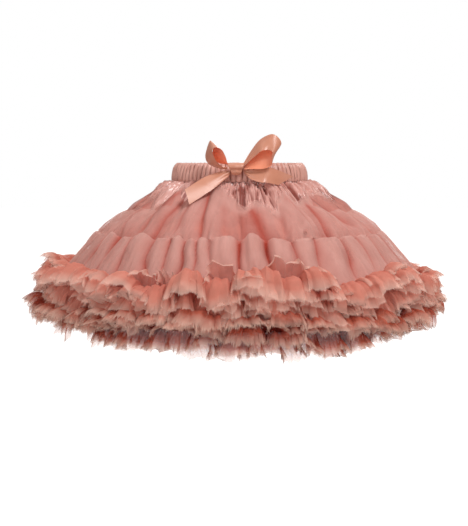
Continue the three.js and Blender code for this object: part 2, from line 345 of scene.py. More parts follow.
def makeSatinWeave():
    # long floating threads: fine lines across the cloth for bump and a little colour
    inputs = {"Across": 2600.0, "Along": 180.0}
    tree, given, result, cloth = newGroup("satinWeave", inputs, ("Lines", "Cloud"))
    threads = stretched(tree, cloth, given["Across"], given["Along"])
    feed(tree, result["Lines"], noiseNode(tree, threads, 1.0, 1.0))
    feed(tree, result["Cloud"], noiseNode(tree, cloth, 60.0, 3.0))
    return tree


netWeave = makeNetWeave()
frayedEdge = makeFrayedEdge()
satinWeave = makeSatinWeave()


def useGroup(tree, group, **inputs):
    node = tree.nodes.new("ShaderNodeGroup")
    node.node_tree = group
    for key, value in inputs.items():
        node.inputs[key].default_value = value
    return node


def makeTulle(name, light, deep, paintedShade, cover, edgeOn, fray=0.0, pale=None, rootShade=0.0, fade=None):
    # the colour after deep is painted shade, laid deep between folds and warmed as if by light through
    # other cloth, and the root share is how much of that painted shade a ruffle has near its stitching.
    # cover is how much the cloth hides where it faces the eye, and edgeOn how much more where it is seen
    # edge on. fray is the depth of its cut edges, and the pale colour a painted glow at them, as if light
    # shone through the thin fray. fade is where it starts, where it ends and the lowest cover, from a sewn
    # edge down.
    material, tree, shader = newMaterial(
        name, Roughness=0.85, Specular_IOR_Level=0.15,
        Sheen_Weight=0.15, Sheen_Roughness=0.45, Sheen_Tint=linear(255, 214, 202),
    )
    net = useGroup(tree, netWeave)
    patches = net.outputs["Patches"]
    threads = net.outputs["Threads"]
    colour = colourBetween(tree, patches, deep, light)
    # painted shade: the shade colour laid into the valleys between folds
    colour = colourBetween(tree, attributeNode(tree, "paintedShade"), colour, paintedShade)
    facing = addNode(tree, "ShaderNodeLayerWeight", Blend=0.4)
    dense = mathNode(tree, "MULTIPLY_ADD", facing.outputs["Facing"], edgeOn, cover)
    dense = mathNode(tree, "MULTIPLY_ADD", patches, 0.14, mathNode(tree, "SUBTRACT", dense, 0.07))
    alpha = mathNode(tree, "MULTIPLY_ADD", threads, 0.1, dense)
    rays = addNode(tree, "ShaderNodeLightPath")
    # a shadow is lighter than the cloth looks, since light also scatters through it
    passing = mathNode(tree, "MULTIPLY_ADD", rays.outputs["Is Shadow Ray"], -0.35, 1.0)
    alpha = mathNode(tree, "MULTIPLY", alpha, passing)
    if fray:
        edge = useGroup(tree, frayedEdge, Depth=fray)
        # painted shade near the stitching, deep in from the cut edge
        root = mathNode(tree, "MULTIPLY", edge.outputs["Root"], rootShade)
        colour = colourBetween(tree, root, colour, paintedShade)
        # painted glow: a pale colour at the cut edge, as if light shone through the thin fray
        colour = colourBetween(tree, edge.outputs["Tip"], colour, pale)
        alpha = mathNode(tree, "MULTIPLY", alpha, edge.outputs["Cloth"])
    if fade:
        start, end, lowest = fade
        full = rangeNode(tree, attributeNode(tree, "edge"), start, end, lowest, curve="SMOOTHSTEP")
        alpha = mathNode(tree, "MULTIPLY", alpha, full)
    feed(tree, shader.inputs["Base Color"], colour)
    feed(tree, shader.inputs["Alpha"], alpha)
    bump = addNode(tree, "ShaderNodeBump", Strength=0.25, Distance=0.0002, Height=threads)
    feed(tree, shader.inputs["Normal"], bump.outputs[0])
    return material


def makeSatin(name, light, deep, roughness, across, sheen=0.2, reverseAndPaintedBounce=None, paintedShade=None, gloss=0.6):
    # across is how many fine lines go in a metre; the other side's colour is the cloth's reverse, made
    # warmer as painted bounce light inside the ribbon's loops, and the colour for hollows is painted shade
    # between folds
    material, tree, shader = newMaterial(
        name, Roughness=roughness, Specular_IOR_Level=gloss, Sheen_Weight=sheen, Anisotropic=0.4
    )
    weave = useGroup(tree, satinWeave, Across=across)
    colour = colourBetween(tree, weave.outputs["Cloud"], deep, light)
    if paintedShade:
        # painted shade between folds
        colour = colourBetween(tree, attributeNode(tree, "paintedShade"), colour, paintedShade)
    if reverseAndPaintedBounce:
        # the other side's colour: partly the cloth's reverse, partly painted bounce light inside the loops
        side = addNode(tree, "ShaderNodeNewGeometry")
        colour = colourBetween(tree, side.outputs["Backfacing"], colour, reverseAndPaintedBounce)
    rough = rangeNode(tree, weave.outputs["Lines"], 0.0, 1.0, roughness - 0.06, roughness + 0.08)
    feed(tree, shader.inputs["Base Color"], colour)
    feed(tree, shader.inputs["Roughness"], rough)
    bump = addNode(tree, "ShaderNodeBump", Strength=0.2, Distance=0.0001, Height=weave.outputs["Lines"])
    feed(tree, shader.inputs["Normal"], bump.outputs[0])
    return material


# each tulle's third colour is painted shade between folds; the ruffles' pale colour is a painted glow at
# their cut edges
outerTulle = makeTulle(
    "outerTulle", linear(232, 188, 178), linear(218, 168, 157), linear(192, 80, 63),
    cover=0.42, edgeOn=0.2, fade=(0.0, 0.01, 0.5),
)
innerTulle = makeTulle(
    "innerTulle", linear(209, 149, 138), linear(194, 131, 119), linear(166, 58, 44),
    cover=1.0, edgeOn=-0.6, fade=(0.0, 0.02, 0.15),
)
underTulle = makeTulle(
    "underTulle", linear(214, 136, 120), linear(200, 120, 103), linear(168, 66, 52),
    cover=1.05, edgeOn=-0.6,
)
ruffleTulle = makeTulle(
    "ruffleTulle", linear(236, 166, 147), linear(218, 136, 116), linear(176, 60, 42),
    cover=0.6, edgeOn=0.3, fray=0.0016, pale=linear(254, 222, 206), rootShade=0.45,
)
# the under ruffle's tulle is a darker, redder copy of the ruffle tulle: painted shade for the lowest
# ruffle, which hangs under the others
underRuffleShadedTulle = makeTulle(
    "underRuffleShadedTulle", linear(214, 124, 99), linear(182, 74, 48), linear(134, 18, 7),
    cover=0.56, edgeOn=0.3, fray=0.004, pale=linear(255, 232, 214), rootShade=0.9,
)
# the last colour of the waistband and yoke satins is painted shade between their gathers
bandSatin = makeSatin(
    "bandSatin", linear(226, 178, 164), linear(204, 148, 134),
    roughness=0.4, across=2600, paintedShade=linear(140, 80, 66),
)
yokeSatin = makeSatin(
    "yokeSatin", linear(224, 173, 162), linear(202, 142, 131),
    roughness=0.32, across=2600, paintedShade=linear(142, 68, 56), gloss=0.8,
)
# its other side is warmer, partly painted bounce light inside the loops
ribbonSatin = makeSatin(
    "ribbonSatin", linear(210, 148, 122), linear(200, 135, 108),
    roughness=0.34, across=3200, sheen=0.1, reverseAndPaintedBounce=linear(240, 154, 120), gloss=0.65,
)
print("finishes made")


# Cloth


def wrapCloth(name, material, size, cut, placeAt, edgeAt=None, paintedShadeAt=None):
    # a flat grid, bent round the skirt and closed at the back; cut is its width and length as cut, edgeAt
    # says how far from a cut or sewn edge a place is, and the last function how much painted shade a place
    # gets between folds, from 0 to 1
    mesh = bmesh.new()
    cloth = mesh.loops.layers.uv.new("cloth")
    edge = mesh.verts.layers.float.new("edge")
    # a mask of painted shade between folds, read by the finishes
    paintedShade = mesh.verts.layers.float.new("paintedShade")
    bmesh.ops.create_grid(
        mesh, x_segments=size["columns"], y_segments=size["rows"], size=0.5, calc_uvs=False
    )
    for face in mesh.faces:
        for loop in face.loops:
            across = loop.vert.co.x + 0.5
            loop[cloth].uv = (across * cut[0], (0.5 - loop.vert.co.y) * cut[1])
    for vert in mesh.verts:
        share = clamp(0.5 - vert.co.y)
        angle = backAngle + fullTurn * (vert.co.x + 0.5)
        vert[edge] = edgeAt(angle, share) if edgeAt else 1.0
        vert[paintedShade] = paintedShadeAt(angle, share) if paintedShadeAt else 0.0
        vert.co = placeAt(angle, share)
    bmesh.ops.remove_doubles(mesh, verts=mesh.verts, dist=1e-6)
    return finishPiece(name, mesh, material)


def addObject(name, data):
    thing = bpy.data.objects.new(name, data)
    bpy.context.scene.collection.objects.link(thing)
    return thing


def finishPiece(name, mesh, material):
    data = bpy.data.meshes.new(name)
    mesh.to_mesh(data)
    mesh.free()
    data.shade_smooth()
    data.materials.append(material)
    return addObject(name, data)


def meshArea(piece):
    return sum(polygon.area for polygon in piece.data.polygons)


def dress(piece, node, flat, restsOn):
    # the solid that a piece stands for, and the cloth that it is cut from
    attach(piece, "root")
    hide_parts(node)
    print(piece.name, "is cut", flat, "and its area is", round(meshArea(piece), 5))


# Waistband: a casing gathered over elastic, with close uneven ribs

band = {
    "columns": 920, "rows": 36,
    "height": 24, "thickness": 3.6,
    "topSide": 86, "topFront": 71,
    "bottomSide": 91, "bottomFront": 76,
    "ribs": 80, "ribHeight": 2.8,
}


def bandGather(angle, up):
    # 1 on a gather's back and 0 between two
    wander = 0.9 * roundNoise(angle, 6, up * 0.05) + 0.3 * roundNoise(angle, 15, up * 0.12)
    return abs(math.cos((foldPhase(angle, band["ribs"], 0.8) + wander) / 2)) ** 0.7


def bandPoint(angle, share):
    # share goes round the casing's section: up the outside, over, and down the inside
    height = band["height"] / 2
    half = band["thickness"] / 2
    turn = fullTurn * share
    squareX = math.copysign(abs(math.cos(turn)) ** 0.35, math.cos(turn))
    squareZ = math.copysign(abs(math.sin(turn)) ** 0.5, math.sin(turn))
    up = squareZ * height
    level = up / height * 0.5 + 0.5
    rib = (bandGather(angle, up) - 0.6) * band["ribHeight"] * (1 + 0.8 * roundNoise(angle, 12, 9))
    rib += 0.9 * roundNoise(angle, 60, up * 0.09) + 0.5 * roundNoise(angle, 25, 4 + up * 0.05)
    shoulder = 2.6 * clamp(up / height) ** 5
    outside = clamp(0.5 + 0.5 * squareX * 1.4)
    bulge = 1.5 * (1 - (up / height) ** 2) - shoulder
    out = squareX * half + outside * (rib + bulge) + (1 - outside) * 0.4 * rib
    side = mix(band["bottomSide"], band["topSide"], level) - half + out
    front = mix(band["bottomFront"], band["topFront"], level) - half + out
    up += 0.35 * rib * (1 if squareZ > 0 else 0) * abs(squareZ) ** 4
    return Vector((side * math.cos(angle), front * math.sin(angle), up)) * mm


# painted shade between the waistband's gathers, made uneven with noise
def bandPaintedShade(angle, share):
    up = math.sin(fullTurn * share) * band["height"] / 2
    return clamp(1 - 1.9 * bandGather(angle, up) + 1.2 * roundNoise(angle, 40, up * 0.1))


bandPiece = wrapCloth("waistbandGathers", bandSatin, band, (0.95, 0.056), bandPoint, paintedShadeAt=bandPaintedShade)
dress(bandPiece, "waistband", (0.62, 0.028), "satin_yoke")


# Satin yoke: creased gathers that spread from the waistband

yoke = {"columns": 960, "rows": 36, "end": 2.0}


def scallopStation(angle):
    phase = foldPhase(angle, scallops["count"], scallops["drift"])
    return scallops["station"] + scallops["reach"] * (1 - 2 * abs(math.cos(phase / 2)))


# How far down the tulle's top edge lies in front, as stations by degrees from the front
tulleEdge = [
    (-100, 1.2), (-84, 1.1), (-72, 1.5), (-61, 1.4), (-52, 1.85), (-44, 0.8), (-34, 1.1), (-25, 1.0),
    (-16, 0.65), (-8, 1.15), (2.7, 1.85), (8.6, 1.6), (14, 1.7), (19, 1.92), (21.5, 1.5), (28, 1.2),
    (33, 1.65), (40, 1.5), (50, 1.1), (60, 1.35), (68, 1.55), (78, 1.2), (90, 1.3), (100, 1.2),
]


def tulleStation(angle):
    beyond = scallopStation(angle)
    byHand = tableAt(tulleEdge, angle, beyond)
    return mix(byHand, beyond, smoothStep(85, 100, abs(angleFromFront(angle))))


def yokeCrumple(angle, station):
    spread = smoothStep(0, 0.5, station)
    lean = 2.2 * roundNoise(angle, 4, station * 0.7)
    gathers = 0.5 - abs(math.sin(0.5 * foldPhase(angle, 78, 1.1) + lean))
    pulls = 0.8 - 3 * abs(roundNoise(angle, 15, station * 0.5 + 7))
    kinks = 0.5 - 3 * abs(roundNoise(angle, 44, station * 1.6 + 2))
    return (3.0 - 0.5 * spread) * gathers + 3.4 * spread * pulls + 2.0 * kinks


def yokeLift(angle, station):
    covered = smoothStep(-0.15, 0.2, station - tulleStation(angle))
    return foldLift(angle, yokeFolds, station) + (1 - covered) * yokeCrumple(angle, station) - 0.6 * covered


# painted shade in the valleys of the yoke's crumpled gathers
def yokePaintedShade(angle, share):
    return clamp(-0.1 - 0.5 * yokeCrumple(angle, share * yoke["end"]))


def yokePoint(angle, share):
    station = share * yoke["end"]
    underBand = 1.5 * (1 - smoothStep(0, 0.12, station))
    return skirtPoint(outerSections, station, angle, yokeLift(angle, station) - underBand)


yokePiece = wrapCloth("yokeGathers", yokeSatin, yoke, (0.95, 0.07), yokePoint, paintedShadeAt=yokePaintedShade)
dress(yokePiece, "satin_yoke", (0.95, 0.066), "waistband")


# Upper tier: sheer outer tulle with long soft folds

# puff is how far the tier stands out from seam to seam, lining how far under it its lining lies at most
# and deepest the crease that is wholly in shade, all in mm; length is in m
upperTier = {
    "columns": 720, "rows": 44,
    "cut": (1.6, 0.1), "node": "upper_tier", "restsOn": "satin_yoke",
    "puff": [0, 4.2, 5, 0], "lining": 10, "deepest": 11, "length": 0.085,
}
upperCreases = [
    (-59, -54, 1.6, 3.5, 0.1, 1.1), (-40, -44, 1.4, 5, 0.05, 0.95), (-34, -36, 1.1, 6, -0.1, 1.1),
    (-27, -26, 1.0, 4.5, 0.1, 0.9), (-21, -15, 0.9, 7, -0.1, 0.95), (-9, -6, 2.0, 2.5, 0.35, 0.9),
    (0, 1.5, 2.2, 4, 0.35, 1.1), (4, 10, 2.4, 7, 0.0, 1.0), (19, 18, 1.2, 3, 0.25, 0.8),
    (27, 30, 1.6, 3, 0.0, 0.7), (39, 36.5, 1.0, 6.5, 0.0, 0.95), (45, 57, 2.2, 5, -0.1, 0.8),
    (60, 66, 1.5, 4, 0.2, 1.0),
] + hiddenCreases(count=15, seed=11, widths=(0.9, 2.3), depths=(2.5, 7))


def upperPoint(angle, share, inside=0.0):
    start = tulleStation(angle) - 0.04
    station = mix(start, tierSeam, share)
    place = share * (len(upperTier["puff"]) - 1)
    puff = smoothValue(upperTier["puff"], place)
    fold = foldLift(angle, upperFolds, place)
    top = 1 - smoothStep(0, 0.2, share)
    seat = top * (foldLift(angle, yokeFolds, station) + 2.4)
    free = smoothStep(0, 0.15, share)
    crease = creaseDepth(upperCreases, angle, share) * free * (1 - 0.4 * smoothStep(0.85, 1, share))
    crease = 2.1 * crease * (0.1 + 0.9 * smoothStep(1.9, 2.8, station))
    wrinkle = 3.2 * math.exp(-16 * abs(roundNoise(angle, 12, share * 1.1 + 3)))
    wrinkle += 1.6 * math.exp(-16 * abs(roundNoise(angle, 19, share * 1.5 + 8)))
    crease += wrinkle * smoothStep(1.9, 2.6, station)
    crease *= 1 - (0.8 if inside == 0 else 0.4) * math.cos(angle) ** 4
    limit = mix(3, 13, smoothStep(1.9, 2.8, station))
    crease = limit * (1 - math.exp(-crease / limit))
    soft = free * (2.6 * roundNoise(angle, 13, share * 1.6) + 0.9 * roundNoise(angle, 34, share * 2))
    gather = 1.6 * math.sin(foldPhase(angle, 96, 0.5)) * smoothStep(0.75, 1, share)
    sunk = smoothStep(1.85, 2.5, station) * (1 - 0.85 * smoothStep(0.7, 1, share))
    depth = inside * (0.08 + sunk * (0.85 + 0.3 * abs(math.cos(angle)) ** 3))
    clear = 3.5 * smoothStep(1.9, 2.4, station) * (1 - 0.8 * smoothStep(0.85, 1, share))
    flatter = 6 * math.cos(angle) ** 4 * math.sin(math.pi * share) if inside == 0 else 0
    lift = seat + puff + fold + clear - crease + soft + gather - depth - flatter
    return skirtPoint(outerSections, station, angle, lift)


def upperLiningPoint(angle, share):
    return upperPoint(angle, share, upperTier["lining"])


def upperEdge(angle, share):
    # how far below its sewn upper edge, in m, made uneven so that its sheer rim is
    return share * upperTier["length"] * (1 + 1.2 * roundNoise(angle, 16, share * 4))


# painted shade in the upper tier's creases and between its folds
def upperPaintedShade(angle, share):
    crease = creaseDepth(upperCreases, angle, share) / upperTier["deepest"] * smoothStep(0.05, 0.25, share)
    fold = 0.35 - 0.35 * foldShape(angle, upperFolds)
    return clamp(crease + 0.35 * fold * smoothStep(0.5, 1, share))


def makeLayer(name, material, tier, placeAt, edgeAt, paintedShadeAt, flat):
    piece = wrapCloth(name, material, tier, tier["cut"], placeAt, edgeAt, paintedShadeAt)
    dress(piece, tier["node"], flat, tier["restsOn"])


makeLayer("upperTierTulle", outerTulle, upperTier, upperPoint, upperEdge, upperPaintedShade, (1.2, 0.095))
makeLayer("upperTierLining", innerTulle, upperTier, upperLiningPoint, upperEdge, upperPaintedShade, (1.2, 0.09))


# Lower tier: round puffs that start in small domes at the seam

lowerTier = {
    "columns": 960, "rows": 36,
    "cut": (2.6, 0.09), "node": "lower_tier", "restsOn": "upper_tier",
    "height": 11, "lining": 7.0,
}

# The front's puffs: width in degrees, height of the dome at the seam, how far down the valleys reach,
# their depth, the puff's height and its lean. They are kept as flaps with one pleat and no tilt.
frontPuffs = [
    (9, 0.6, 0.8, 0.6, 0.7, 2), (9, 1.0, 1.1, 0.7, 0.9, -2), (10, 0.7, 0.8, 0.5, 0.8, 3),
    (10, 1.2, 1.1, 0.7, 1.0, 5), (9, 0.8, 0.9, 0.7, 1.0, 4), (10.6, 1.2, 1.1, 0.6, 1.2, 6),
    (6.4, 0.7, 1.0, 0.6, 0.9, 6), (6.5, 1.4, 1.3, 0.6, 1.0, 4), (4.6, 0.8, 1.3, 0.9, 0.9, 1),
    (4.7, 1.0, 0.7, 0.3, 0.9, 1), (10, 1.5, 0.9, 0.4, 1.1, 2), (9.8, 1.7, 1.4, 1.1, 1.2, -1),
    (8.7, 0.8, 1.2, 0.9, 1.1, 3), (8.7, 0.6, 0.5, 0.2, 1.0, -2), (12, 0.7, 1.2, 0.8, 1.2, -9),
    (9, 0.9, 0.7, 0.5, 1.0, -5), (10, 1.1, 0.9, 0.6, 0.9, -3), (10, 0.7, 0.8, 0.4, 0.8, -3),
    (11, 1.0, 1.0, 0.6, 0.9, 2), (11, 0.8, 0.8, 0.5, 0.8, -2),
]
lowerPuffs = makeFlaps(31, 9.4, [(width, 1, *numbers, 0) for width, *numbers in frontPuffs])


def lowerCrest(angle, share):
    # 1 on a puff's back and less in the valley between two puffs, then the puff's own numbers
    wander = 0.035 * roundNoise(angle, 7, share * 1.5) + 0.012 * roundNoise(angle, 24, share * 3)
    lean = flapAt(lowerPuffs, angle)[2][4]
    across, _, numbers = flapAt(lowerPuffs, angle + wander - lean * share / hemRadius)
    fade = 1 - 0.75 * smoothStep(numbers[1] - 0.6, numbers[1] + 0.2, share)
    valley = clamp(0.1 + numbers[2]) * fade
    return 1 - valley * (1 - math.sin(math.pi * across) ** 0.42), numbers


def lowerPoint(angle, share, inside=0.0):
    crest, (dome, _, _, full, _, _) = lowerCrest(angle, share)
    rise = smoothStep(0, 0.12, share) ** 0.6
    fall = 1 - 0.5 * smoothStep(0.3, 1, share)
    over = 0.17 * dome * crest * math.sin(math.pi * clamp(share / 0.2))
    station = mix(tierSeam, hemStitch + 0.08, share) - over
    seam = foldShape(angle, upperFolds) * upperFolds["heights"][-1] * (1 - smoothStep(0, 0.4, share))
    flatter = 1 - 0.5 * math.cos(angle) ** 4
    height = lowerTier["height"] * full * rise * fall * (1.25 * crest - 0.58) * flatter
    soft = 3.0 * roundNoise(angle, 18, share * 2.2) + 1.5 * roundNoise(angle, 45, share * 2.5)
    sunk = math.sin(math.pi * (0.1 + 0.9 * share)) ** 0.7
    depth = inside * (0.15 + sunk * (0.85 + 0.1 * abs(math.cos(angle)) ** 3))
    return skirtPoint(outerSections, station, angle, seam + height + soft * rise - depth)


def lowerLiningPoint(angle, share):
    return lowerPoint(angle, share, lowerTier["lining"])


# painted shade in the valleys between the lower tier's puffs
def lowerPaintedShade(angle, share):
    crest, _ = lowerCrest(angle, share)
    return clamp((1 - crest) ** 1.5 * 2.4 * (1 - 0.3 * share))


makeLayer("lowerTierTulle", outerTulle, lowerTier, lowerPoint, None, lowerPaintedShade, (1.8, 0.085))
makeLayer("lowerTierLining", innerTulle, lowerTier, lowerLiningPoint, None, lowerPaintedShade, (1.8, 0.085))


# Under skirt: one plainer layer that shows softly through the outer tulle

underSkirt = {"columns": 360, "rows": 24}


def underPoint(angle, share):
    place = share * (innerStitch + 0.1)
    fold = foldLift(angle, innerFolds, place)
    free = smoothStep(0, 0.2, share)
    soft = free * (3.4 * roundNoise(angle, 9, share * 2) + 1.2 * roundNoise(angle, 26, share * 4))
    underYoke = 3.4 * (1 - smoothStep(0, 0.15, share))
    return skirtPoint(innerSections, place, angle, fold + soft - underYoke)


underPiece = wrapCloth("underSkirtTulle", underTulle, underSkirt, (1.4, 0.18), underPoint)
dress(underPiece, "under_skirt", (1.3, 0.172), "satin_yoke")


# Ruffles: strips stitched along their middle, with a row of flaps above the stitching and one below.
# Each flap lies between two curves, which list how far out and up it is from the stitching to its
# free edge, in mm. average is a flap's mean width in degrees, wave how far flaps stand out and in, tilt
# how many degrees those above and below tip, sway how far the stitching wanders up and down, and droop
# how much lower the flaps below hang in front, in mm. The front's flaps above the stitching of the
# outermost hem strip are listed one by one, with the numbers that makeFlaps draws for the others.

frontFlaps = [
    (8, 4, 0.7, 0.9, 0.5, 1.0, 2, -0.6), (9, 3, 0.9, 1.0, 0.3, 1.1, -3, 0.3),
    (9, 5, 0.8, 0.9, 0.8, 1.0, 4, -0.8), (10, 4, 1.1, 1.0, 0.6, 1.2, -4, 0.4),
    (12, 5, 1.15, 0.95, 0.9, 1.4, 5, 0.1), (7.5, 4, 0.8, 0.85, 0.6, 1.1, 6, -0.5),
    (8.5, 3, 0.9, 0.9, 1.0, 1.5, 3, 0.5), (7.5, 4, 0.6, 1.15, 0.0, 1.0, -2, -1.0),
    (10, 5, 1.1, 1.0, 0.6, 1.4, 5, 0.1), (6, 3, 1.1, 1.1, 0.2, 1.0, -4, -0.7),
    (7, 4, 1.15, 0.9, 0.8, 1.4, 8, 0.2), (5.5, 3, 1.3, 0.95, 0.1, 1.1, -3, -0.3),
    (4, 2, 0.8, 1.0, 0.5, 0.9, 2, -0.9), (8.5, 5, 1.15, 1.0, 0.8, 1.4, 6, 0.3),
    (3.5, 2, 0.7, 1.1, 0.1, 0.8, -2, -1.0), (7, 4, 0.7, 1.1, 0.4, 1.2, -5, -0.5),
    (10, 5, 0.95, 1.0, 0.7, 1.3, 4, 0.2), (10, 4, 1.2, 0.95, 0.9, 1.3, -5, 0.6),
    (7, 4, 1.0, 1.0, 0.5, 1.1, 3, -0.6), (7, 3, 0.8, 1.05, 0.7, 1.0, -3, 0.3),
    (8, 4, 0.7, 1.0, 0.4, 1.1, 3, -0.7), (8, 5, 0.9, 0.95, 0.6, 1.0, -2, 0.2),
    (7.5, 4, 0.8, 1.0, 0.5, 0.9, 2, -0.4),
]
hemStrips = [
    {
        "name": "hemRuffleRolled", "seed": 41, "average": 8.5, "byHand": frontFlaps, "wave": 11,
        "tilt": (14, 22), "sway": 6, "droop": 4,
        "above": [
            [(0, 0), (4, 11), (11, 18), (20, 15), (27, 4), (31, -9)],
            [(0, 0), (6, 10), (14, 17), (23, 15), (31, 8), (37, -1)],
        ],
        "below": [[(0, 0), (9, -7), (18, -16), (24, -28)], [(0, 0), (5, -9), (11, -20), (15, -32)]],
    },
    {
        "name": "hemRuffleUpright", "seed": 42, "average": 9.5, "wave": 12, "tilt": (26, 26),
        "sway": 13, "droop": 7,
        "above": [
            [(0, 0), (1, 10), (4, 19), (12, 25), (20, 25)],
            [(0, 0), (3, 10), (9, 18), (18, 18), (26, 8)],
        ],
        "below": [[(0, 0), (13, -3), (24, -11), (31, -22)], [(0, 0), (8, -8), (16, -18), (22, -30)]],
    },
    {
        "name": "hemRuffleSpread", "seed": 43, "average": 8.8, "wave": 13, "tilt": (30, 28),
        "sway": 15, "droop": 10,
        "above": [
            [(0, 0), (9, 5), (19, 5), (28, -2), (33, -12)],
            [(0, 0), (8, 6), (17, 8), (26, 5), (35, -2)],
        ],
        "below": [[(0, 0), (5, -11), (11, -23), (16, -35)], [(0, 0), (12, -8), (21, -18), (28, -30)]],
    },
]
underStrips = [
    {
        "name": "underRuffleOuter", "seed": 44, "average": 8.4, "wave": 13, "tilt": (30, 20), "sway": 13,
        "above": [
            [(0, 0), (9, 6), (18, 6), (26, -3), (29, -15)],
            [(0, 0), (8, 9), (17, 14), (27, 12), (34, 3)],
        ],
        "below": [[(0, 0), (7, -7), (13, -15), (18, -24)], [(0, 0), (4, -8), (9, -17), (12, -27)]],
    },
    {
        "name": "underRuffleMiddle", "seed": 45, "average": 8.0, "wave": 12, "tilt": (26, 18), "sway": 8,
        "above": [
            [(0, 0), (10, 3), (19, 0), (26, -9), (29, -20)],
            [(0, 0), (10, 6), (20, 8), (30, 0)],
        ],
        "below": [[(0, 0), (3, -10), (6, -19), (8, -29)], [(0, 0), (9, -6), (16, -13), (21, -22)]],
    },
    {
        "name": "underRuffleInner", "seed": 46, "average": 9.0, "wave": 12, "tilt": (20, 14), "sway": 4,
        "above": [
            [(0, 0), (10, -1), (18, -8), (24, -18)],
            [(0, 0), (9, 3), (19, 2), (28, -6)],
        ],
        "below": [[(0, 0), (1, -10), (2, -20), (3, -30)], [(0, 0), (5, -9), (9, -18), (12, -27)]],
    },
]
stripMesh = {"columns": 1620, "rows": 16, "cut": 5.6}  # its net is drawn for 5.6 m of strip

# How far the outer ruffle's stitching lies above its level line, in mm by degrees from the front
hemLift = [
    (-90, 0), (-60, 2), (-50, 4), (-38, 0), (-26, -3), (-20, -2), (-13, 5), (-5, 2), (3, 7),
    (9, 5), (17, 3), (26, -2), (34, -1), (45, 4), (58, 0), (75, -8), (90, -9),
]

# The same for the under ruffle's lower edge
underLift = [(-90, 0), (-62, 7), (-45, 5), (-30, 0), (14, 0), (24, -10), (33, -6), (44, 0), (90, 0)]


def hemLiftAt(angle):
    return tableAt(hemLift, angle, 5 * roundNoise(angle, 5, 21) - 9 * max(0.0, math.cos(angle)) ** 6)


def curvePoint(curve, share):
    place = share * (len(curve) - 1)
    return [smoothValue([point[axis] for point in curve], place) for axis in (0, 1)]


def creasedWave(phase):
    # a wave with crisp folds instead of round ones, from -1 to 1
    return math.asin(0.97 * math.sin(phase)) / 1.325


def turned(out, up, tilt):
    return out * math.cos(tilt) - up * math.sin(tilt), up * math.cos(tilt) + out * math.sin(tilt)


def stripPoint(strip, sections, station, seat, angle, share):
    # share runs from the free edge above to the free edge below, and reach from the stitching to either
    seed = strip["seed"]
    side = "above" if share < 0.5 else "below"
    reach = abs(2 * share - 1)
    across, pleats, (high, long, rolled, full, lean, tilted) = flapAt(strip["flaps"][side], angle)
    arch = math.sin(math.pi * across)
    bell = 2 * arch**0.75 - 1
    longer = long * (0.86 + 0.14 * arch)
    ends = []
    step = 0.04
    for place in (reach, reach + step, max(reach - step, 0.0)):
        first, second = (curvePoint(curve, place * longer) for curve in strip[side])
        ends.append([mix(a, b, rolled) for a, b in zip(first, second)])
    (out, up), (outNext, upNext), (outLast, upLast) = ends
    run = outNext - outLast
    climb = upNext - upLast
    length = max(math.hypot(run, climb), 1e-6)
    run, climb = run / length, climb / length
    if up > 0:
        up *= high
    tilt = tilted * strip["tilt"][side == "below"]
    level = math.cos(angle) ** 2
    right = max(0.0, math.cos(angle)) ** 2
    if side == "above":
        # flaps at the skirt's sides tip further down
        tilt -= 22 * level + 18 * right if sections is innerSections else 15 * level + 8 * right
    tilt = math.radians(tilt)
    out, up = turned(out, up, tilt)
    run, climb = turned(run, climb, tilt)
    if side == "above":
        up *= 1 - 0.4 * level - 0.2 * right  # and stand less high
    ragged = 0.9 * roundNoise(angle, 24, seed + reach * 1.2) * reach
    wave = strip["wave"] * (full * reach**0.8 * bell + ragged)
    fold = creasedWave(fullTurn * pleats * across + 2.0 * roundNoise(angle, 12, seed + reach))
    pleat = 4.4 * reach * fold + 4.2 * reach * roundNoise(angle, 75, seed + reach * 1.5)
    displaced = wave + pleat
    along = reach**3 * (3.4 * fold + 6 * roundNoise(angle, 30, seed + 3))
    along += 3.5 * reach**3 * roundNoise(angle, 75, seed + 9)
    out += -displaced * climb + along * run
    up += displaced * run + along * climb
    slide = reach * (-7 * full * math.sin(fullTurn * across) + lean)
    slide += 1.6 * reach * math.sin(2 * fullTurn * pleats * across)
    up += strip["sway"] * roundNoise(angle, 5.5, seed + 50)
    if sections is innerSections:
        # the hem hangs lower in front and higher at the sides, most on the right
        front = max(0.0, -math.sin(angle - 0.2)) ** 2
        out -= (9 * right + 5 * level) * reach
        if side == "above":
            hang = 2 * level + 3 * right + 3 * front
        else:
            hang = 7 * level + 13 * right - 6 * front + tableAt(underLift, angle, 0)
        up += hang * smoothStep(0, 0.4, reach)
    else:
        up += hemLiftAt(angle)
        if side == "below":
            front = max(0.0, -math.sin(angle)) ** 2
            up -= (strip["droop"] + 5 * roundNoise(angle, 7, 33)) * front * reach
            out -= (11 * level**2 + 5 * right**2) * reach
        else:
            out -= (17 * level**2 + 5 * right**2) * reach
    return skirtPoint(sections, station, angle + slide / hemRadius, seat(angle), out, up)


# painted shade between the ruffle's flaps, less towards their free edges
def stripPaintedShade(strip, angle, share):
    side = "above" if share < 0.5 else "below"
    across, _, _ = flapAt(strip["flaps"][side], angle)
    reach = abs(2 * share - 1)
    return clamp((1 - math.sin(math.pi * across)) ** 1.6 * 1.2 * (1 - 0.5 * reach))


def hemSeat(angle):
    # how far the stitching lies off the sections, in mm
    return 4.0


def underSeat(angle):
    right = max(0.0, math.cos(angle)) ** 2  # the hem hangs a little higher there
    return foldShape(angle, innerFolds) * innerFolds["heights"][-1] + 1.5 - 4 * right


def stripWidth(strip):
    width = 0.0
    for side in ("above", "below"):
        for curve in strip[side]:
            points = [Vector(curvePoint(curve, step / 20)) for step in range(21)]
            width += sum((b - a).length for a, b in zip(points, points[1:])) / 2
    return width * mm


